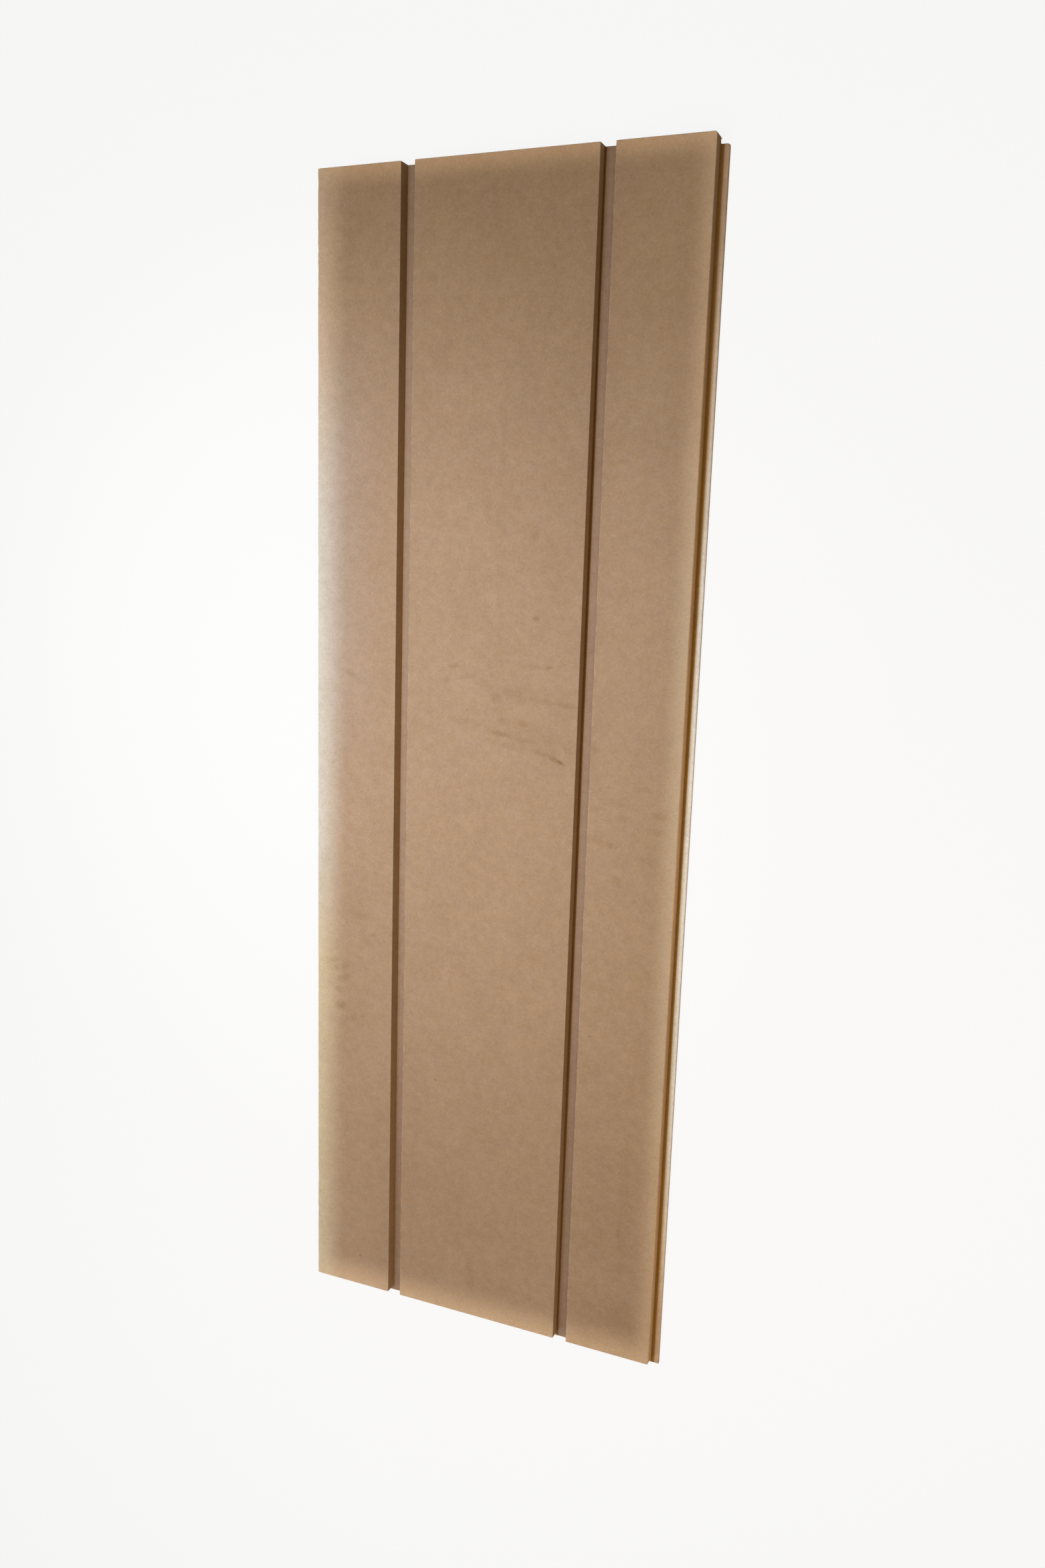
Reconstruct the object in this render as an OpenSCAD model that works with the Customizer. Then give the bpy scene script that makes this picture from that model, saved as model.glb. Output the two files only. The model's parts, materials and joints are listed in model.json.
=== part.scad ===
// Grooved fibreboard wall sheet: one machined piece, lying face up.
// X runs across the sheet towards the lip, Y along the grooves, Z out of the face.
// The thin layer at the back stands out past the face as a lip along the right edge and the foot.
// The origin is the middle of the flat back.

/* [Sheet] */
// Width of the grooved face, without the lip
face_w = 600; // [400:1:1200]
// Length of the grooved face, along the grooves
face_l = 1800; // [600:1:3600]
// Thickness of the sheet, from back to face
sheet_t = 28; // [18:0.5:50]

/* [Grooves] */
// Width of the strip of face between each long edge and its groove
edge_strip_w = 138; // [40:1:270]
// Width of each groove
groove_w = 22; // [4:0.5:60]
// Thickness left under each groove
web_t = 6; // [3:0.5:15]

/* [Lips] */
// How far the lip stands out past the long edge of the face
lip_w = 12; // [6:0.5:40]
// How far the lip stands out past the foot of the face
foot_lip_w = 10; // [5:0.5:40]
// Thickness of the lip
lip_t = 6; // [3:0.5:15]
// Chamfer on the outer front arris of both lips
lip_chamfer = 1.5; // [0.5:0.1:2.5]
// How far short of the sheet's top end the lip stops
lip_setback = 10; // [1:1:100]
// Clearance round the lip of a neighbouring sheet, in the rebate behind the other edge
lap_clearance = 0.5; // [0.2:0.1:1.5]

/* [Arrises] */
// Rounding of the long arrises of the face
arris_r = 0.8; // [0.3:0.1:2]

/* [Hidden] */
board_tan = [0.69, 0.57, 0.46];
cut_over = 1;                                // how far each cut runs past the stock
left_x = -(face_w + lip_w) / 2;              // long edge with the rebate behind it
right_x = left_x + face_w;                   // long edge that the lip stands out from
groove_x = [left_x + edge_strip_w, right_x - edge_strip_w - groove_w];
sheet_l = face_l + foot_lip_w;
foot_y = -sheet_l / 2;                       // end of the foot lip
back_rebate_w = lip_w + lap_clearance;
back_rebate_d = lip_t + lap_clearance;
$fn = 32;

// What rounding takes off an outside corner at the origin; the stock lies below and to the left.
module arris_waste() {
    difference() {
        translate([-arris_r, -arris_r]) square(arris_r + cut_over);
        translate([-arris_r, -arris_r]) circle(arris_r);
    }
}

// Rounds both arrises of a strip of face that runs from x0 to x1.
module strip_arrises(x0, x1) {
    translate([x1, sheet_t]) arris_waste();
    translate([x0, sheet_t]) mirror([1, 0]) arris_waste();
}

// Square-sided groove with its left wall at x.
module groove_cut(x) {
    translate([x, web_t]) square([groove_w, sheet_t - web_t + cut_over]);
}

// Lip that laps under the next sheet, with its outer front arris taken off.
module lip_profile() {
    polygon([
        [right_x - cut_over, 0],
        [right_x + lip_w, 0],
        [right_x + lip_w, lip_t - lip_chamfer],
        [right_x + lip_w - lip_chamfer, lip_t],
        [right_x - cut_over, lip_t]
    ]);
}

// Rebate behind the other long edge, which takes a neighbour's lip.
module back_rebate_cut() {
    translate([left_x - cut_over, -cut_over])
        square([back_rebate_w + cut_over, back_rebate_d + cut_over]);
}

// Cross-section of the sheet: across the sheet by out of the face.
module section() {
    difference() {
        union() {
            translate([left_x, 0]) square([face_w, sheet_t]);
            lip_profile();
        }
        for (x = groove_x) groove_cut(x);
        back_rebate_cut();
        strip_arrises(left_x, groove_x[0]);
        strip_arrises(groove_x[0] + groove_w, groove_x[1]);
        strip_arrises(groove_x[1] + groove_w, right_x);
    }
}

// Face cut back at the foot, which leaves the foot lip standing out.
module foot_face_cut() {
    translate([left_x - cut_over, foot_y - cut_over, lip_t])
        cube([face_w + 2 * cut_over, foot_lip_w + cut_over, sheet_t]);
}

// Waste of the chamfer along the foot lip, as a triangle run across the sheet.
module foot_chamfer_cut() {
    translate([left_x - cut_over, foot_y, lip_t])
        rotate([90, 0, 90])
        linear_extrude(height = face_w + lip_w + 2 * cut_over)
        polygon([
            [-cut_over, cut_over],
            [-cut_over, -lip_chamfer - cut_over],
            [lip_chamfer + cut_over, cut_over]
        ]);
}

// Top end of the side lip, which is cut back to the edge of the face.
module lip_end_cut() {
    translate([right_x, sheet_l / 2 - lip_setback, -cut_over])
        cube([lip_w + cut_over, lip_setback + cut_over, lip_t + 2 * cut_over]);
}

module sheet() {
    color(board_tan)
    difference() {
        rotate([90, 0, 0]) linear_extrude(height = sheet_l, center = true) section();
        foot_face_cut();
        foot_chamfer_cut();
        lip_end_cut();
    }
}

sheet();
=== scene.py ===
import json
import math

import bmesh
import bpy
from mathutils import Matrix, Vector


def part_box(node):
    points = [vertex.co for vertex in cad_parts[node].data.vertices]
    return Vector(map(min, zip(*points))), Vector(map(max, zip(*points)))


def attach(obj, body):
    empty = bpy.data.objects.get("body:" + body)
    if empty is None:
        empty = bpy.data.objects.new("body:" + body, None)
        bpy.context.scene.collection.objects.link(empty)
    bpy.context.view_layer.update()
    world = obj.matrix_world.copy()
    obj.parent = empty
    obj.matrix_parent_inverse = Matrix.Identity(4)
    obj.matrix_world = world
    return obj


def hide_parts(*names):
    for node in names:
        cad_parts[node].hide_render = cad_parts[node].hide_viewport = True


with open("model.json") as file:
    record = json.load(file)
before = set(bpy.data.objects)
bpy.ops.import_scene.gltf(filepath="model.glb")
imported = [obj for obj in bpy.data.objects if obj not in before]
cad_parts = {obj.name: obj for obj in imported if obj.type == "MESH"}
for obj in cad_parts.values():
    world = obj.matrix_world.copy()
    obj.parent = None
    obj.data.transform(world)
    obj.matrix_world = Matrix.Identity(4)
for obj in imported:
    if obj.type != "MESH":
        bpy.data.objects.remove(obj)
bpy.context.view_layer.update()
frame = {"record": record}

sheetLow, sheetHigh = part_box("sheet")
print("frame loaded")


# The sheet: its sizes come from the stated openings.
openings = {o["name"]: o["box_m"] for o in frame["record"]["physics"]["openings"]}

sheetMake = {
    "openingRoom": 0.0005,             # room between each stated opening and the board
    "lapRoom": 0.0005,                 # the rebate is this much deeper than the lip
    "lipSetback": 0.010,
    "lipChamfer": 0.0015,              # on the outer front arris of both lips
    "arrisRadius": 0.0008,
    "endEase": 0.35,                   # rounding of the sawn edges, as a share of the arris
    "bruiseFace": 0.0030,              # knocked corner of the face at the top of the lap
    "bruiseLip": 0.0020,
    "faceSteps": 4,                    # flats round each knocked corner and each arris
    "lipSteps": 3,
    "arrisSteps": 3,
    "cellAcross": 0.014,
    "besideArris": (0.0034, 0.0060),   # extra lines either side of each arris
    "rowsOnWall": (0.0112, 0.0166, 0.0218, 0.0258),
    "linesOnBack": (-0.15, 0.0, 0.15),
    "backReach": 0.006,                # lines this close to one of linesOnBack stay
    "rowsAlong": ((0.5, 24), (0.03, 29), (0.0045, 3)),       # edges longer than this, cuts in each
    "straight": 0.9,                   # an edge with this share of its length along an axis follows it
    "slanted": 0.5,                    # and with this share it leans, as on the lip's chamfer
    "sharpTurn": 1.0,                  # radians between two faces
    "smoothTurn": 32,                  # degrees
    "wearReach": 0.0030,               # how far from an arris the wear goes
    "wearFall": 0.75,                  # share of the wear lost on the way
    "wearClouds": (                    # name, size, contrast, brightness, depth
        ("worn", 0.011, 1.2, 0.85, 0.00012),
        ("nicked", 0.016, 5.0, 0.42, 0.00045),
    ),
}


room = sheetMake["openingRoom"]
grooves = [(openings[name][0][0] - room, openings[name][1][0] + room)
           for name in ("groove_by_rebate_edge", "groove_by_lip_edge")]
leftX = sheetLow.x
faceRightX = openings["space_over_lip"][0][0] - room
lipX = sheetHigh.x
rebateX = openings["rebate_behind_edge"][1][0] + room
webZ = openings["groove_by_lip_edge"][0][2] - room
lipZ = openings["space_over_lip"][0][2] - room
rebateZ = openings["rebate_behind_edge"][1][2] + sheetMake["lapRoom"]
topZ = sheetHigh.z
footY = sheetLow.y
faceFootY = openings["space_over_foot_lip"][1][1] + room
topY = sheetHigh.y
stripEdges = [leftX, grooves[0][0], grooves[0][1], grooves[1][0], grooves[1][1], faceRightX]
near = 0.00005                         # two places closer than this are the same


def meshWithoutPicks(piece):
    mesh = bmesh.from_edit_mesh(piece.data)
    for part in (mesh.verts, mesh.edges, mesh.faces):
        for item in part:
            item.select = False
    return mesh


def pickFaces(piece, test):
    mesh = meshWithoutPicks(piece)
    for face in mesh.faces:
        if test(face.calc_center_median()):
            face.select_set(True)
    bmesh.update_edit_mesh(piece.data)


def pickEdges(piece, test):
    mesh = meshWithoutPicks(piece)
    for edge in mesh.edges:
        if test(edge, edge.verts[0].co, edge.verts[1].co):
            edge.select_set(True)
    bmesh.update_edit_mesh(piece.data)


def cutAcross(x):
    bpy.ops.mesh.select_all(action="SELECT")
    bpy.ops.mesh.bisect(plane_co=(x, 0, 0), plane_no=(1, 0, 0))


def cutLevel(piece, z, test=lambda c: True):
    pickFaces(piece, test)
    bpy.ops.mesh.bisect(plane_co=(0, 0, z), plane_no=(0, 0, 1))


def runsLong(a, b):
    return abs(a.y - b.y) > sheetMake["straight"] * (a - b).length


def makeSheet():
    bpy.ops.object.select_all(action="DESELECT")
    middle = ((leftX + lipX) / 2, faceFootY, topZ / 2)
    bpy.ops.mesh.primitive_plane_add(size=1, location=middle, rotation=(math.radians(90), 0, 0))
    piece = bpy.context.active_object
    piece.name = "fibreboard_sheet"
    piece.data.name = "fibreboard_sheet"
    piece.scale = (lipX - leftX, topZ, 1)
    bpy.ops.object.transform_apply(location=True, rotation=True, scale=True)
    bpy.ops.object.mode_set(mode="EDIT")
    bpy.ops.mesh.select_mode(type="FACE")

    for x in [rebateX] + stripEdges[1:]:                     # lines of the section
        cutAcross(x)
    for a, b in zip(stripEdges[0::2], stripEdges[1::2]):     # cells across each strip
        cells = round((b - a) / sheetMake["cellAcross"])
        for i in range(1, cells):
            cutAcross(a + (b - a) * i / cells)
        for inset in sheetMake["besideArris"]:
            cutAcross(a + inset)
            cutAcross(b - inset)
    for a, b in grooves:
        cutAcross((a + b) / 2)
    cutAcross((faceRightX + lipX) / 2)
    for z in sheetMake["rowsOnWall"]:
        cutLevel(piece, z)
    cutLevel(piece, rebateZ, lambda c: c.x < rebateX)
    cutLevel(piece, webZ, lambda c: any(a < c.x < b for a, b in grooves))
    cutLevel(piece, lipZ, lambda c: c.x > rebateX)

    def isOpen(c):
        inGroove = any(a < c.x < b for a, b in grooves) and c.z > webZ
        overLip = c.x > faceRightX and c.z > lipZ
        inRebate = c.x < rebateX and c.z < rebateZ
        return inGroove or overLip or inRebate

    pickFaces(piece, isOpen)
    bpy.ops.mesh.delete(type="FACE")

    bodyRun = topY - faceFootY - sheetMake["lipSetback"]
    bpy.ops.mesh.select_all(action="SELECT")
    bpy.ops.mesh.extrude_region_move(TRANSFORM_OT_translate={"value": (0, bodyRun, 0)})
    bpy.ops.mesh.select_all(action="SELECT")
    bpy.ops.mesh.normals_make_consistent(inside=False)
    stepY = faceFootY + bodyRun
    pickFaces(piece, lambda c: abs(c.y - stepY) < near and c.x < faceRightX)
    bpy.ops.mesh.extrude_region_move(TRANSFORM_OT_translate={"value": (0, sheetMake["lipSetback"], 0)})
    pickFaces(piece, lambda c: abs(c.y - faceFootY) < near and c.z < lipZ and c.x > rebateX)
    bpy.ops.mesh.extrude_region_move(TRANSFORM_OT_translate={"value": (0, footY - faceFootY, 0)})
    bpy.ops.mesh.select_all(action="SELECT")
    bpy.ops.mesh.normals_make_consistent(inside=False)

    def backLine(edge, a, b):                                # the back needs few lines
        inside = rebateX + near < a.x < lipX - near
        kept = any(abs(a.x - x) < sheetMake["backReach"] for x in sheetMake["linesOnBack"])
        return runsLong(a, b) and max(a.z, b.z) < near and inside and not kept

    bpy.ops.mesh.select_mode(type="EDGE")
    pickEdges(piece, backLine)
    bpy.ops.mesh.dissolve_edges(use_verts=False)

    def lipArris(edge, a, b):                                # of the side lip and the foot lip
        level = abs(a.z - lipZ) < near and abs(b.z - lipZ) < near
        beside = abs(a.x - lipX) < near and abs(b.x - lipX) < near
        foot = abs(a.y - footY) < near and abs(b.y - footY) < near
        return level and (beside or foot) and a.y < stepY + near

    pickEdges(piece, lipArris)
    bpy.ops.mesh.bevel(offset=sheetMake["lipChamfer"], segments=1, affect="EDGES")

    def faceCorner(edge, a, b):
        upright = abs(a.z - b.z) > sheetMake["straight"] * (a - b).length
        return upright and abs(a.x - faceRightX) < near and abs(a.y - topY) < near

    pickEdges(piece, faceCorner)
    bpy.ops.mesh.bevel(offset=sheetMake["bruiseFace"], segments=sheetMake["faceSteps"], affect="EDGES")

    def lipCorner(edge, a, b):
        upright = abs(a.z - b.z) > sheetMake["slanted"] * (a - b).length
        return upright and min(a.x, b.x) > lipX - 2 * sheetMake["lipChamfer"] and abs(a.y - stepY) < near

    pickEdges(piece, lipCorner)
    bpy.ops.mesh.bevel(offset=sheetMake["bruiseLip"], segments=sheetMake["lipSteps"], affect="EDGES")

    def isArris(edge, a, b):
        high = min(a.z, b.z) > topZ - near
        return high and runsLong(a, b) and any(abs(a.x - x) < near for x in stripEdges)

    def isKnocked(edge, a, b):                               # front edges beside the bruise
        high = min(a.z, b.z) > topZ - near and min(a.x, b.x) > grooves[1][1] - near
        sharp = edge.calc_face_angle_signed(0) > sheetMake["sharpTurn"]
        return high and sharp and min(a.y, b.y) > topY - 2 * sheetMake["bruiseFace"]

    def isSawnEdge(edge, a, b):
        sharp = edge.calc_face_angle_signed(0) > sheetMake["sharpTurn"]
        stub = max(abs(a.x - rebateX), abs(b.x - rebateX), abs(a.y - faceFootY)) < near
        return sharp and not stub and not isArris(edge, a, b) and not isKnocked(edge, a, b)

    pickEdges(piece, lambda edge, a, b: isArris(edge, a, b) or isKnocked(edge, a, b))
    bpy.ops.transform.edge_bevelweight(value=1.0)
    pickEdges(piece, isSawnEdge)
    bpy.ops.transform.edge_bevelweight(value=sheetMake["endEase"])
    bpy.ops.object.mode_set(mode="OBJECT")
    ease = piece.modifiers.new("ease", "BEVEL")
    ease.limit_method = "WEIGHT"
    ease.width = sheetMake["arrisRadius"]
    ease.segments = sheetMake["arrisSteps"]
    ease.use_clamp_overlap = False
    bpy.ops.object.modifier_apply(modifier=ease.name)
    print("section extruded and eased:", len(piece.data.polygons), "faces")

    bpy.ops.object.mode_set(mode="EDIT")                     # rows along the length
    for longest, cuts in sheetMake["rowsAlong"]:
        pickEdges(piece, lambda edge, a, b: runsLong(a, b) and (a - b).length > longest)
        bpy.ops.mesh.subdivide(number_cuts=cuts, smoothness=0)
    bpy.ops.object.mode_set(mode="OBJECT")
    print("rows cut:", len(piece.data.polygons), "faces")
    return piece


def wearArrises(piece):
    worn = piece.vertex_groups.new(name="arrises")
    for vertex in piece.data.vertices:
        c = vertex.co
        away = min(abs(c.x - x) for x in stripEdges)
        reach = math.hypot(away, topZ - c.z) / sheetMake["wearReach"]
        if reach < 1:
            worn.add([vertex.index], 1 - sheetMake["wearFall"] * reach, "REPLACE")
    for name, size, contrast, bright, depth in sheetMake["wearClouds"]:
        cloud = bpy.data.textures.new(name, "CLOUDS")
        cloud.noise_scale = size
        cloud.noise_depth = 2
        cloud.contrast = contrast
        cloud.intensity = bright
        cloud.use_clamp = True
        push = piece.modifiers.new(name, "DISPLACE")
        push.texture = cloud
        push.texture_coords = "LOCAL"
        push.vertex_group = "arrises"
        push.mid_level = 0.0
        push.strength = -depth                               # inwards only
        bpy.ops.object.modifier_apply(modifier=push.name)
    print("arrises worn")


sheet = makeSheet()
wearArrises(sheet)
bpy.ops.object.shade_smooth_by_angle(angle=math.radians(sheetMake["smoothTurn"]))


class Wire:                            # a shader socket that takes part in sums
    def __init__(self, graph, socket):
        self.graph = graph
        self.socket = socket

    def sum(self, operation, *values):
        sockets = dict(enumerate((self,) + values))
        return self.graph.node("ShaderNodeMath", {"operation": operation}, sockets)

    def __add__(self, other):
        return self.sum("ADD", other)

    def __radd__(self, other):
        return self.sum("ADD", other)

    def __sub__(self, other):
        return self.sum("SUBTRACT", other)

    def __rsub__(self, other):
        return self.graph.node("ShaderNodeMath", {"operation": "SUBTRACT"}, {0: other, 1: self})

    def __mul__(self, other):
        return self.sum("MULTIPLY", other)

    def __rmul__(self, other):
        return self.sum("MULTIPLY", other)

    def __truediv__(self, other):
        return self.sum("DIVIDE", other)

    def __neg__(self):
        return self.sum("MULTIPLY", -1)

    def __abs__(self):
        return self.sum("ABSOLUTE")

    def most(self, other):
        return self.sum("MAXIMUM", other)

    def ramp(self, start, end, full=1.0):                    # smooth step from 0 at start to full at end
        sockets = {"Value": self, "From Min": start, "From Max": end, "To Min": 0.0, "To Max": full}
        if start > end:
            sockets.update({"From Min": end, "From Max": start, "To Min": full, "To Max": 0.0})
        return self.graph.node("ShaderNodeMapRange", {"interpolation_type": "SMOOTHSTEP"}, sockets)


class Graph:
    def __init__(self, tree):
        self.tree = tree
        tree.nodes.clear()

    def node(self, kind, settings, sockets, out=0):
        made = self.tree.nodes.new(kind)
        for name, value in settings.items():
            setattr(made, name, value)
        for name, value in sockets.items():
            if isinstance(value, Wire):
                self.tree.links.new(value.socket, made.inputs[name])
            else:
                made.inputs[name].default_value = value
        return Wire(self, made.outputs[out]) if made.outputs else None

    def blend(self, mask, under, over):
        sockets = {"Factor": mask, 6: under, 7: over}
        return self.node("ShaderNodeMix", {"data_type": "RGBA"}, sockets, 2)

    def shade(self, colour, amount, share):                  # lighter or darker by an amount
        each = self.node("ShaderNodeVectorMath", {"operation": "SCALE"}, {0: share, "Scale": amount})
        return self.node("ShaderNodeVectorMath", {"operation": "MULTIPLY_ADD"},
                         {0: each, 1: colour, 2: colour})

    def stretch(self, place, scale, move=(0, 0, 0)):
        sockets = {"Vector": place, "Location": move, "Scale": scale}
        return self.node("ShaderNodeMapping", {}, sockets)

    def shift(self, place, move):
        return self.stretch(place, (1, 1, 1), move)

    def noise(self, place, scale, detail, rough, out="Fac"):
        sockets = {"Vector": place, "Scale": scale, "Detail": detail, "Roughness": rough}
        return self.node("ShaderNodeTexNoise", {}, sockets, out)

    def wobble(self, place, scale, reach):                   # place, pushed about by a noise
        push = self.noise(place, scale, 2.0, 0.5, "Color")
        return self.node("ShaderNodeVectorMath", {"operation": "MULTIPLY_ADD"},
                         {0: push, 1: reach, 2: place})

    def spots(self, place, scale, start, end):
        sockets = {"Vector": place, "Scale": scale}
        return self.node("ShaderNodeTexVoronoi", {"feature": "F1"}, sockets, "Distance").ramp(start, end)

    def parts(self, place):
        split = self.node("ShaderNodeSeparateXYZ", {}, {0: place})
        return [Wire(self, s) for s in split.socket.node.outputs]


# Colours of the bare fibreboard, and of the painted light and shade on it
board = {
    "faceWarm": (0.4510, 0.2958, 0.1900, 1),
    "faceGrey": (0.4405, 0.2985, 0.2025, 1),
    "floor": (0.440, 0.298, 0.210, 1),
    "wall": (0.440, 0.285, 0.165, 1),
    "wallDeep": (0.400, 0.230, 0.090, 1),
    "core": (0.420, 0.285, 0.185, 1),
    "crust": (0.270, 0.160, 0.085, 1),
    "paleFibre": (0.640, 0.480, 0.350, 1),
    "darkFibre": (0.200, 0.110, 0.055, 1),
    "speck": (0.110, 0.055, 0.028, 1),
    "dirt": (0.235, 0.125, 0.040, 1),
    "straw": (0.820, 0.780, 0.710, 1),
    "hay": (0.820, 0.700, 0.490, 1),
    "cream": (0.850, 0.630, 0.450, 1),
    "ash": (0.485, 0.386, 0.350, 1),
    "blond": (0.745, 0.600, 0.425, 1),
    "sand": (0.800, 0.560, 0.370, 1),
    "toast": (0.790, 0.520, 0.320, 1),
    "tan": (0.440, 0.260, 0.100, 1),
    "apricot": (0.850, 0.500, 0.280, 1),
    "lipStain": (0.350, 0.160, 0.004, 1),
    "shell": (0.970, 0.840, 0.700, 1),
    "chalk": (0.990, 0.960, 0.920, 1),
    "grooveStain": (0.200, 0.083, 0.001, 1),
}

marking = {
    "shake": 0.006,                    # how far a mark's outline wanders
    "crispBelow": 0.003,               # smaller specks keep a clean outline
    "fade": 1.25,                      # a mark fades out this many half lengths from its middle
    "full": 0.8,                       # and is full a fifth of the way out
    "deep": 0.025,
}

# Rubs and finger marks: middle, half length and width, turn in degrees, how dark
marks = [
    ((0.064, 0.085), (0.085, 0.0220), -8, 0.12),
    ((0.047, 0.150), (0.060, 0.0180), -8, 0.09),
    ((0.102, 0.0555), (0.017, 0.0046), -25, 0.46),
    ((0.108, 0.0530), (0.009, 0.0032), -25, 0.80),
    ((0.077, 0.0645), (0.020, 0.0060), -8, 0.27),
    ((0.030, 0.0710), (0.055, 0.0070), -6, 0.14),
    ((0.012, 0.0875), (0.024, 0.0054), -9, 0.40),
    ((0.050, 0.0815), (0.026, 0.0056), -4, 0.27),
    ((0.120, 0.0730), (0.014, 0.0080), -40, 0.22),
    ((0.028, 0.1060), (0.032, 0.0080), -4, 0.18),
    ((0.047, 0.1055), (0.011, 0.0060), 0, 0.36),
    ((0.004, 0.1430), (0.013, 0.0110), 10, 0.27),
    ((0.030, 0.1510), (0.028, 0.0100), 5, 0.18),
    ((0.070, 0.1430), (0.034, 0.0058), -6, 0.21),
    ((0.114, 0.1390), (0.024, 0.0062), -8, 0.22),
    ((0.060, 0.1910), (0.024, 0.0045), 4, 0.17),
    ((0.085, 0.1920), (0.009, 0.0040), 5, 0.30),
    ((-0.067, 0.1850), (0.011, 0.0044), 5, 0.26),
    ((-0.080, 0.1630), (0.010, 0.0070), 20, 0.20),
    ((-0.045, 0.1710), (0.020, 0.0055), 12, 0.16),
    ((-0.045, 0.1020), (0.038, 0.0065), -4, 0.11),
    ((0.005, 0.3900), (0.008, 0.2800), 0, 0.055),
    ((-0.116, 0.744), (0.008, 0.0087), 0, 0.16),
    ((0.004, 0.490), (0.008, 0.0087), 0, 0.14),
    ((0.059, 0.382), (0.008, 0.0087), 0, 0.15),
    ((0.064, 0.263), (0.006, 0.0055), 0, 0.50),
    ((0.187, 0.487), (0.010, 0.0051), 0, 0.15),
    ((-0.246, 0.162), (0.010, 0.0080), -20, 0.22),
    ((-0.276, -0.315), (0.014, 0.0072), 28, 0.20),
    ((-0.254, -0.322), (0.010, 0.0055), 12, 0.24),
    ((-0.271, -0.3285), (0.007, 0.0060), 0, 0.20),
    ((-0.256, -0.342), (0.015, 0.0068), 22, 0.28),
    ((-0.265, -0.365), (0.011, 0.0075), 14, 0.22),
    ((-0.263, -0.392), (0.011, 0.0087), 4, 0.38),
    ((-0.2375, -0.410), (0.006, 0.0060), 0, 0.18),
    ((-0.2275, -0.232), (0.021, 0.0085), 2, 0.20),
    ((-0.203, -0.2625), (0.008, 0.0055), -10, 0.30),
    ((-0.213, -0.276), (0.013, 0.0075), -15, 0.15),
    ((0.238, 0.025), (0.013, 0.0055), 8, 0.18),
    ((0.200, 0.001), (0.021, 0.0095), 12, 0.15),
    ((0.175, -0.009), (0.012, 0.0050), 5, 0.12),
    ((0.209, -0.022), (0.013, 0.0070), -10, 0.20),
    ((0.267, -0.012), (0.016, 0.0075), -4, 0.17),
    ((0.264, -0.035), (0.017, 0.0075), -8, 0.12),
    ((0.178, -0.060), (0.024, 0.0075), -14, 0.16),
    ((0.194, -0.063), (0.006, 0.0055), 0, 0.24),
    ((0.254, -0.080), (0.020, 0.0095), -10, 0.19),
    ((0.204, -0.117), (0.010, 0.0110), 0, 0.19),
    ((0.162, 0.078), (0.008, 0.0070), 0, 0.20),
    ((-0.121, -0.647), (0.007, 0.0087), 0, 0.16),
    ((0.2365, -0.682), (0.0045, 0.0220), 3, 0.28),
    ((0.243, -0.655), (0.014, 0.1400), 0, 0.10),
    ((0.243, -0.613), (0.014, 0.0140), 0, 0.15),
    ((0.252, -0.632), (0.010, 0.0070), -30, 0.18),
    ((0.246, -0.826), (0.027, 0.0350), 0, 0.17),
    ((0.190, -0.830), (0.024, 0.0200), 0, 0.07),
    ((-0.016, -0.821), (0.008, 0.0377), 4, 0.14),
    ((-0.086, -0.4905), (0.0022, 0.0019), 0, 0.95),
    ((0.174, -0.367), (0.0020, 0.0017), 0, 0.85),
    ((-0.223, -0.842), (0.0021, 0.0019), 0, 0.85),
    ((0.186, 0.023), (0.0016, 0.0015), 0, 0.70),
    ((0.163, 0.089), (0.0018, 0.0015), 0, 0.60),
    ((-0.176, 0.702), (0.0018, 0.0015), 0, 0.60),
    ((-0.0445, 0.1205), (0.0014, 0.0013), 0, 0.75),
    ((-0.0515, 0.1215), (0.0011, 0.0011), 0, 0.50),
]


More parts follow.
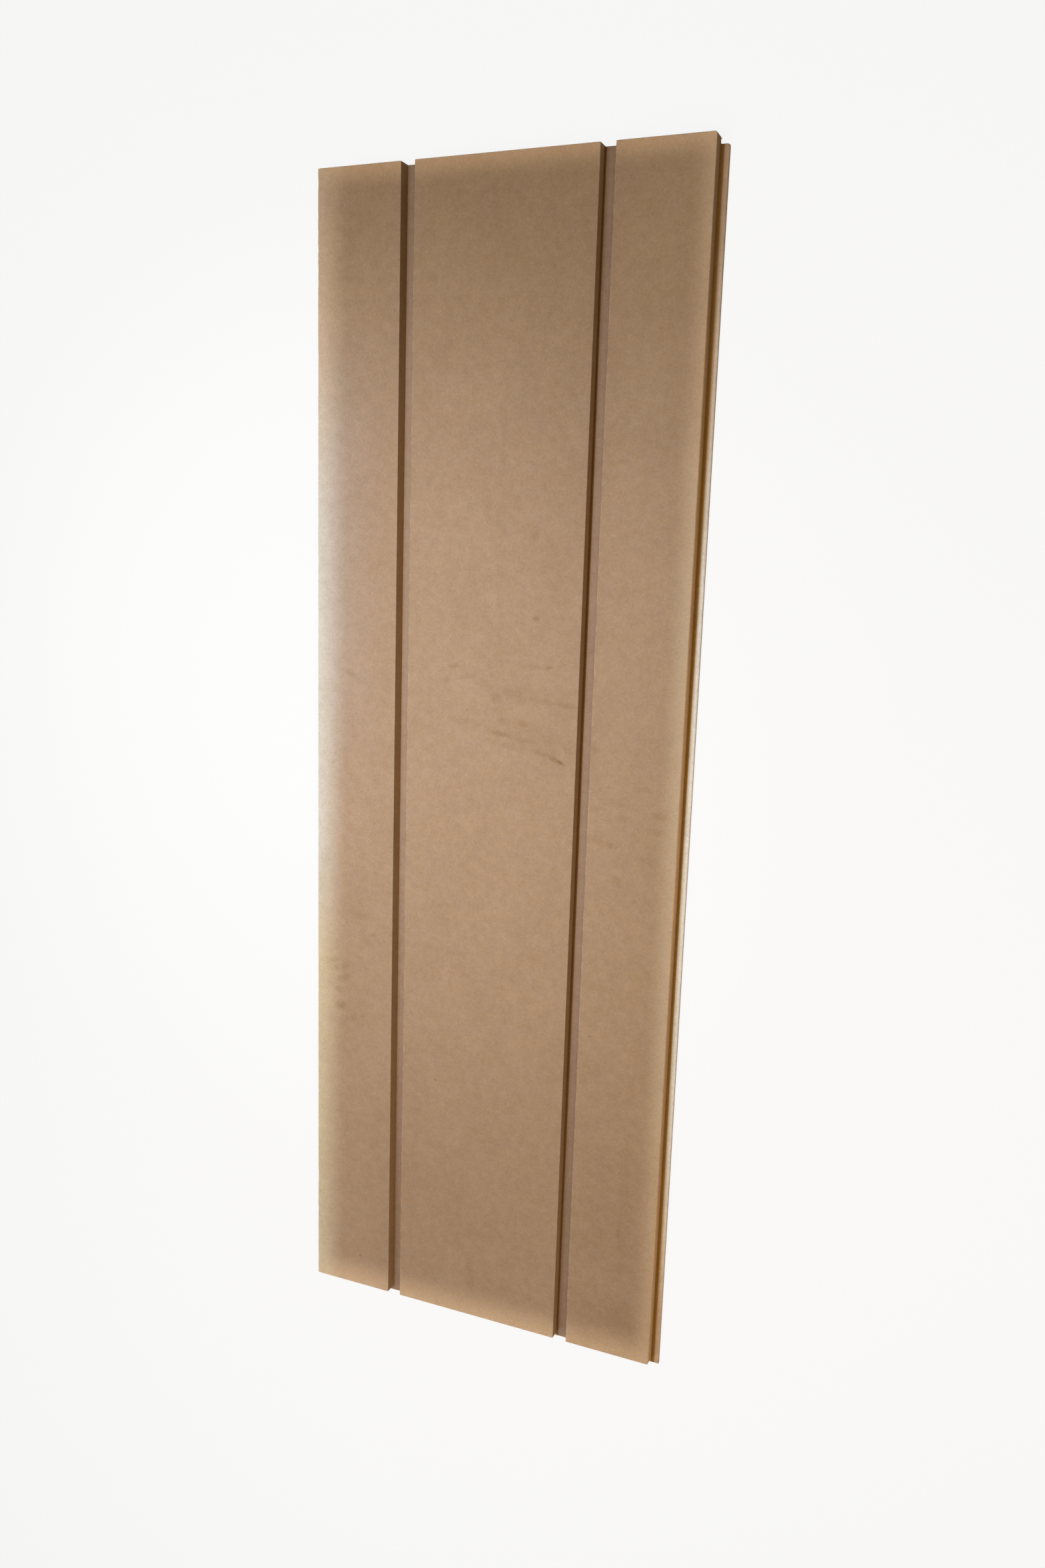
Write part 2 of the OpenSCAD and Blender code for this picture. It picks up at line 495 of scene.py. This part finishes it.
def fibreboardMaterial():
    material = bpy.data.materials.new("rawFibreboard")
    material.use_nodes = True
    g = Graph(material.node_tree)
    place = g.node("ShaderNodeTexCoord", {}, {}, "Object")
    facing = g.node("ShaderNodeTexCoord", {}, {}, "Normal")
    x, y, z = g.parts(place)
    nx, ny, nz = g.parts(facing)

    # where each kind of surface is
    up = nz.ramp(0.55, 0.85)
    high = z.ramp(topZ - 0.004, topZ - 0.002)
    low = 1 - high
    wall = abs(nx).ramp(0.55, 0.85)
    end = abs(ny).ramp(0.55, 0.85)
    floor = up * low
    arris = (abs(nx) * nz).ramp(0.08, 0.42) * high
    litArris = (-nx * nz).ramp(0.08, 0.42) * high

    # cloudy tone, grain, fibres and specks of the pressed fibre
    loose = g.wobble(place, 30.0, (0.012, 0.012, 0.012))
    cloud = g.noise(place, 17.0, 4.0, 0.55)
    hue = g.noise(g.shift(place, (3.1, 1.7, 0.4)), 90.0, 3.0, 0.60)
    tuft = g.noise(place, 85.0, 3.0, 0.6)
    clump = g.noise(g.shift(place, (0.9, 2.3, 1.1)), 250.0, 2.0, 0.5)
    grain = g.noise(place, 620.0, 3.0, 0.65)
    dust = g.noise(place, 2300.0, 2.0, 0.6)
    strandA = g.noise(g.shift(loose, (0.7, 0.2, 0.1)), 210.0, 1.5, 0.45)
    strandB = g.noise(g.shift(loose, (1.9, 0.8, 0.6)), 260.0, 1.5, 0.45)
    gateA = g.noise(g.shift(place, (0.3, 1.2, 2.0)), 150.0, 1.0, 0.5)
    gateB = g.noise(g.shift(place, (2.3, 0.2, 1.0)), 170.0, 1.0, 0.5)
    paleFibre = abs(strandA - 0.5).ramp(0.018, 0.004) * gateA.ramp(0.55, 0.62)
    darkFibre = abs(strandB - 0.5).ramp(0.016, 0.004) * gateB.ramp(0.57, 0.64)
    specks = g.spots(place, 95.0, 0.090, 0.050)
    fineSpecks = g.spots(place, 260.0, 0.130, 0.070)

    # how far a point of the face is from each edge, a little frayed, and where the lap is
    fray = (tuft - 0.5) * 0.009
    fromLeft = x - leftX
    fromRight = faceRightX - x + fray
    fromFoot = y - faceFootY + fray
    fromTop = topY - y + fray
    lapSide = x.ramp(faceRightX - 0.0015, faceRightX - 0.0003)

    # rubs and finger marks on the face
    ragged = g.noise(place, 260.0, 3.0, 0.6)
    shaken = g.wobble(place, 90.0, (marking["shake"], marking["shake"], 0))
    dirt = None
    for (markX, markY), (halfLong, halfWide), turn, depth in marks:
        crisp = max(halfLong, halfWide) < marking["crispBelow"]
        off = 0 if crisp else marking["shake"] / 2           # the noise pushes one way on average
        spot = g.node("ShaderNodeMapping", {"vector_type": "TEXTURE"}, {
            "Vector": place if crisp else shaken,
            "Location": (markX + off, markY + off, topZ),
            "Rotation": (0, 0, math.radians(turn)),
            "Scale": (halfLong * marking["fade"], halfWide * marking["fade"], marking["deep"]),
        })
        inside = g.node("ShaderNodeTexGradient", {"gradient_type": "SPHERICAL"}, {"Vector": spot}, "Fac")
        one = inside.ramp(0, marking["full"], depth)
        dirt = one if dirt is None else dirt.most(one)
    dirt = dirt * (ragged * 1.4 + 0.25) * high

    # colour
    colour = g.blend(hue.ramp(0.35, 0.65), board["faceGrey"], board["faceWarm"])
    face = up * high
    midLength = abs(y + 0.08).ramp(0.72, 0.30)
    # tints of the painted glow along the face's edges
    leftEdgeGlow = g.blend(y.ramp(-0.10, -0.32), board["straw"], board["hay"])
    leftEdgeGlow = g.blend(y.ramp(0.35, 0.75), leftEdgeGlow, board["cream"])
    rightEdgeGlow = g.blend(midLength, board["sand"], board["blond"])
    # greyer and paler within 0.13 m of the left edge, in the middle of the length
    greyerTowardsLeft = fromLeft.ramp(0.130, 0.020) * y.ramp(-0.15, 0.25) * y.ramp(0.75, 0.50)
    colour = g.blend(greyerTowardsLeft * 0.40 * face, colour, board["ash"])
    # painted shade: the face darker and browner towards the top end, where the light falls off
    colour = g.blend(fromTop.ramp(0.45, 0.05) * 0.14, colour, board["tan"])
    # painted light: the face painted paler towards its top, right, foot and left edges, for a glow along
    # its outline
    for away, reach, past, share, tint in (
        (fromTop, 0.038, -0.010, 0.90, board["toast"]),
        (fromRight, 0.034, -0.010, 0.58, rightEdgeGlow),
        (fromFoot, 0.055, -0.012, 0.90, board["sand"]),
        (fromLeft, 0.057, -0.012, 0.76, leftEdgeGlow),
    ):
        colour = g.blend(away.ramp(reach, past) * share * face, colour, tint)
    colour = g.blend(floor, colour, board["floor"])
    # painted shade: walls darker and browner towards the groove floors, and the lap wall below its top few
    # millimetres in the upper part of the length, for the shade in these recesses
    deep = z.ramp(webZ + 0.012, webZ) * fromLeft.ramp(0.014, 0.020)
    deep = deep * (1 - lapSide * y.ramp(0.30, 0.05) * 0.8)
    lapCornerShade = lapSide * y.ramp(0.02, 0.24) * z.ramp(0.0240, 0.0210) * 0.75
    wallColour = g.blend(deep.most(lapCornerShade), board["wall"], board["wallDeep"])
    # painted light: the lap wall painted lighter and more orange, most just under its top arris, for the
    # light it catches
    lapWallLight = 0.10 + 0.13 * y.ramp(0.62, 0.30) + 0.12 * y.ramp(-0.30, -0.75)
    lapWallLight = lapWallLight + 0.18 * abs(y).ramp(0.30, 0.10) + 0.74 * z.ramp(0.0205, 0.0265) * y.ramp(0.84, 0.66)
    wallColour = g.blend(lapWallLight * lapSide, wallColour, board["apricot"])
    # painted shade: the lap wall darker towards the top end, in the dense crust's colour
    wallColour = g.blend(lapSide * y.ramp(0.50, 0.78) * 0.40, wallColour, board["crust"])
    colour = g.blend(wall, colour, wallColour)

    # painted light on the side lip: its outer half painted paler and its outer rim near white as a painted
    # highlight; and a painted shadow, a brown line in the two corners on its side
    lipTop = nz.ramp(0.30, 0.65)
    waver = 0.0008 * abs(y + 0.15).ramp(0.40, 0.15) - 0.0006 * abs(y - 0.33).ramp(0.16, 0.05)
    pastFace = x - faceRightX
    lipOuterLight = (pastFace + waver).ramp(0.0040, 0.0066) * lipTop
    rimHighlight = pastFace.ramp(0.0062, 0.0092) * lipTop * y.ramp(0.86, 0.62) * y.ramp(-0.86, -0.66)
    colour = g.blend(lipOuterLight * 0.62, colour, board["sand"])
    colour = g.blend(lipOuterLight * midLength * 0.86, colour, board["straw"])
    rimHighlightTint = g.blend(midLength, board["shell"], board["chalk"])
    colour = g.blend(rimHighlight * (0.70 + 0.18 * midLength), colour, rimHighlightTint)
    # painted shadow: a brown line on the lip beside the lap wall, and on the lap wall just above the lip
    faint = 1 - y.ramp(0.45, 0.80) * 0.15
    lipShadowEdge = pastFace - (1 - abs(y + 0.30).ramp(0.40, 0.10)) * 0.0005
    onLip = lipShadowEdge.ramp(0.0058, 0.0026) * lapSide * floor * faint * 0.93
    onWall = 0.12 + 0.10 * y.ramp(0.30, 0.50) + 0.30 * y.ramp(0.60, 0.80)
    overLip = z.ramp(lipZ + 0.0065, lipZ) * lapSide * wall * pastFace.ramp(0.010, 0.008) * onWall
    colour = g.blend(onLip.most(overLip), colour, board["lipStain"])
    # painted shadow: a dark brown line along the foot of the second groove's left wall, on the floor and
    # the wall's foot
    fromCorner = abs(x - grooves[1][0]) - 0.0012 * abs(y).ramp(0.75, 0.35)
    inGroove = fromCorner.ramp(0.0023, 0.0009) * z.ramp(webZ + 0.0078, webZ + 0.0020)
    colour = g.blend(inGroove * 0.85, colour, board["grooveStain"])
    layer = g.noise(g.stretch(place, (40, 40, 1500)), 1.0, 3.0, 0.6)
    fromMiddle = abs(z - topZ / 2) / (topZ / 2)
    sawn = g.blend((fromMiddle + (layer - 0.5) * 0.25).ramp(0.62, 0.98), board["core"], board["crust"])
    colour = g.blend(end, colour, sawn)
    colour = g.blend(paleFibre * 0.22, colour, board["paleFibre"])
    colour = g.blend(darkFibre * 0.20, colour, board["darkFibre"])
    colour = g.blend(fineSpecks * 0.10, colour, board["darkFibre"])
    colour = g.blend(specks * 0.22, colour, board["speck"])
    colour = g.blend(dirt, colour, board["dirt"])
    # painted highlight: arrises painted paler, most on those that face the light
    colour = g.blend(arris * 0.22, colour, board["paleFibre"])
    colour = g.blend(litArris * tuft.ramp(0.42, 0.56) * 0.55, colour, board["sand"])
    toneAndPaintedLight = (cloud - 0.5) * 0.17
    for noise, share in ((tuft, 0.30), (clump, 0.20), (grain, 0.50), (dust, 0.36)):
        toneAndPaintedLight = toneAndPaintedLight + (noise - 0.5) * share
    nearFoot = y.ramp(-0.40, -0.75)                          # painted light and shade near the foot, where the light differs a little
    # painted light and shade: the right strip lighter from the middle towards the top and darker near the
    # foot, the left strip lighter near the foot, the walls lighter near the foot and those on the left
    # half darker near the top
    toneAndPaintedLight = toneAndPaintedLight + x.ramp(0.13, 0.20) * face * (y.ramp(-0.20, 0.45) * 0.09 - nearFoot * 0.06)
    toneAndPaintedLight = toneAndPaintedLight + x.ramp(-0.15, -0.24) * face * nearFoot * 0.07
    toneAndPaintedLight = toneAndPaintedLight + wall * (nearFoot * 0.13 - x.ramp(0.0, -0.1) * y.ramp(0.45, 0.80) * 0.18)
    colour = g.shade(colour, toneAndPaintedLight, (0.86, 1.02, 1.24))       # darker fibre is a stronger brown

    # height: sanded face, cutter lines in the grooves, saw lines on the ends
    sanding = g.noise(g.stretch(place, (900, 25, 900)), 1.0, 2.0, 0.5)
    cutter = g.noise(g.stretch(place, (2400, 30, 2400)), 1.0, 2.0, 0.5)
    chatter = g.node("ShaderNodeTexWave", {"wave_type": "BANDS", "bands_direction": "Y"},
                     {"Vector": place, "Scale": 160.0, "Distortion": 1.5, "Detail": 2.0})
    saw = g.noise(g.stretch(place, (1600, 1, 60)), 1.0, 2.0, 0.5)
    machined = wall.most(floor)
    height = grain * 0.5 + dust * 0.35 + paleFibre * 0.25 + sanding * (1 - machined) * 0.18
    height = height + (cutter * 0.5 + chatter * 0.25 + grain * 0.6) * machined
    height = height + saw * end * 0.8 - specks * 0.4
    relief = {"Strength": 0.55, "Distance": 0.00022, "Height": height}

    rough = 0.80 + machined * 0.10 + end * 0.10 + (grain - 0.5) * 0.10 - dirt * 0.10
    shader = g.node("ShaderNodeBsdfPrincipled", {}, {
        "Base Color": colour,
        "Roughness": rough,
        "Normal": g.node("ShaderNodeBump", {}, relief),
        "Specular IOR Level": 0.28,
    })
    g.node("ShaderNodeOutputMaterial", {}, {"Surface": shader})
    return material


sheet.data.materials.append(fibreboardMaterial())
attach(sheet, "root")
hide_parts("sheet")
print("sheet finished")


studio = {
    "floorSize": 14.0,
    "floorDrop": 0.0004,               # just under the board, so that the two never share a plane
    "floorColour": (0.84, 0.84, 0.85, 1),
    "floorGlow": 0.88,                 # share of plain white that the camera sees in the floor
    "worldColour": (1.0, 0.92, 0.80),
    "worldStrength": 0.15,
}


def makeFloor():
    bpy.ops.object.select_all(action="DESELECT")
    bpy.ops.mesh.primitive_plane_add(size=studio["floorSize"], location=(0, 0, -studio["floorDrop"]))
    ground = bpy.context.active_object
    ground.name = "floor"
    material = bpy.data.materials.new("paleFloor")
    material.use_nodes = True
    g = Graph(material.node_tree)
    seen = g.node("ShaderNodeLightPath", {}, {}, "Is Camera Ray")
    matt = g.node("ShaderNodeBsdfDiffuse", {}, {"Color": studio["floorColour"]})
    glow = g.node("ShaderNodeEmission", {}, {"Color": (1, 1, 1, 1), "Strength": 1.0})
    mixed = g.node("ShaderNodeMixShader", {}, {0: seen * studio["floorGlow"], 1: matt, 2: glow})
    g.node("ShaderNodeOutputMaterial", {}, {"Surface": mixed})
    ground.data.materials.append(material)


def makeWorld():
    world = bpy.data.worlds.new("studio")
    bpy.context.scene.world = world
    world.use_nodes = True
    g = Graph(world.node_tree)
    seen = g.node("ShaderNodeLightPath", {}, {}, "Is Camera Ray")
    soft = g.node("ShaderNodeBackground", {}, {"Color": (*studio["worldColour"], 1),
                                               "Strength": studio["worldStrength"]})
    white = g.node("ShaderNodeBackground", {}, {"Color": (1, 1, 1, 1), "Strength": 1.0})
    mixed = g.node("ShaderNodeMixShader", {}, {0: seen, 1: soft, 2: white})
    g.node("ShaderNodeOutputWorld", {}, {"Surface": mixed})


lamps = [
    {"name": "key", "kind": "SPOT", "place": (-0.15, 0.12, 2.50), "aim": (-0.30, 0.12, 0.0),
     "power": 73.0, "size": 0.12, "cone": 40.0, "colour": (0.88, 0.94, 1.0)},
    {"name": "accent", "kind": "SPOT", "place": (-0.15, 0.20, 2.50), "aim": (-0.36, 0.26, 0.0),
     "power": 36.0, "size": 0.12, "cone": 28.0, "colour": (0.82, 0.90, 1.0)},
    {"name": "overhead", "kind": "AREA", "place": (-0.30, 0.10, 2.20), "aim": (-0.30, 0.10, 0.0),
     "power": 17.3, "size": 1.20, "cone": 180.0, "colour": (1.0, 0.97, 0.91)},
    {"name": "side", "kind": "AREA", "place": (1.30, -0.60, 1.90), "aim": (0.0, -0.25, 0.0),
     "power": 6.0, "size": 1.00, "cone": 120.0, "colour": (1.0, 0.83, 0.52)},
    {"name": "foot", "kind": "AREA", "place": (-0.55, -1.45, 1.40), "aim": (-0.15, -0.75, 0.0),
     "power": 2.3, "size": 0.90, "cone": 120.0, "colour": (1.0, 0.98, 1.0)},
]


def makeLamps():
    for lamp in lamps:
        direction = Vector(lamp["aim"]) - Vector(lamp["place"])
        bpy.ops.object.select_all(action="DESELECT")
        bpy.ops.object.light_add(type=lamp["kind"], location=lamp["place"],
                                 rotation=direction.to_track_quat("-Z", "Y").to_euler())
        made = bpy.context.active_object
        made.name = lamp["name"]
        made.data.energy = lamp["power"]
        made.data.color = lamp["colour"]
        if lamp["kind"] == "SPOT":
            made.data.shadow_soft_size = lamp["size"]
            made.data.spot_size = math.radians(lamp["cone"])
            made.data.spot_blend = 1.0
        else:
            made.data.shape = "DISK"
            made.data.size = lamp["size"]
            made.data.spread = math.radians(lamp["cone"])


view = {
    "place": (0.72, 0.365, 1.71),
    "aim": (0.0504, 0.0147, 0.028),
    "lens": 28.04,
    "sensor": 36.0,
    "nearest": 0.05,                   # nothing closer than this is shown
    "turn": 1.83,                      # the horizon's small tilt, in degrees
}


def makeCamera():
    eye = Vector(view["place"])
    back = (eye - Vector(view["aim"])).normalized()
    side = Vector((0, 1, 0)).cross(back).normalized()
    upward = back.cross(side)
    level = Matrix((side, upward, back)).transposed()
    tilted = Matrix.Rotation(math.radians(view["turn"]), 3, back) @ level
    bpy.ops.object.select_all(action="DESELECT")
    bpy.ops.object.camera_add(location=eye, rotation=tilted.to_euler())
    camera = bpy.context.active_object
    camera.data.lens = view["lens"]
    camera.data.sensor_width = view["sensor"]
    camera.data.clip_start = view["nearest"]
    bpy.context.scene.camera = camera


makeFloor()
makeWorld()
makeLamps()
makeCamera()
bpy.context.scene.view_settings.view_transform = "Standard"
print("floor, lamps and camera ready")
